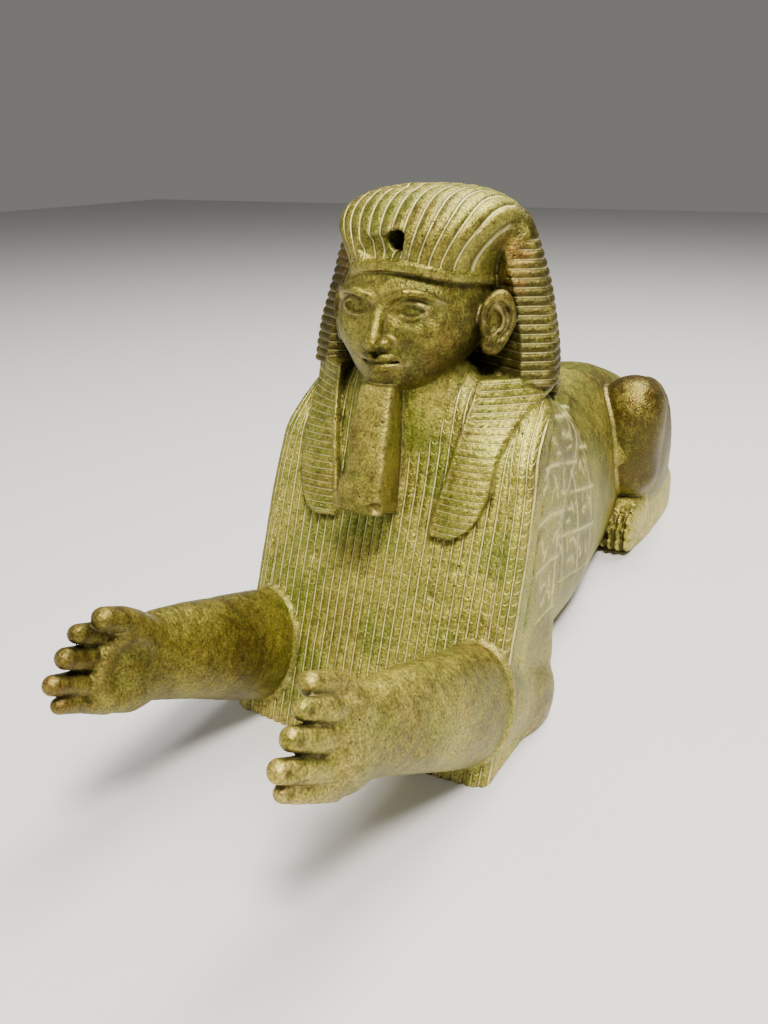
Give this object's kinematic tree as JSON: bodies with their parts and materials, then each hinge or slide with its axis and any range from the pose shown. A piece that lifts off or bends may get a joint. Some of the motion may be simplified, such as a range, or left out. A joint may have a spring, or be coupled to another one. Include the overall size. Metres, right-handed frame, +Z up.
{
  "type": "sphinx statue",
  "caption": "Bronze sphinx lying down: lion's body, human head in a striped headcloth, human arms reaching forward with open hands.",
  "frame": {"origin": "middle of the box's underside, on the surface the statue stands on", "axes": "+Z up, the figure looks along -Y and its left side is at +X"},
  "size_m": [0.135, 0.4832, 0.2185],
  "materials": {
    "bronze": "olive green patina over brown bronze, satin, worn brighter on ridges"
  },
  "bodies": {
    "root": {"sphinx_statue": "bronze"}
  },
  "joints": []
}
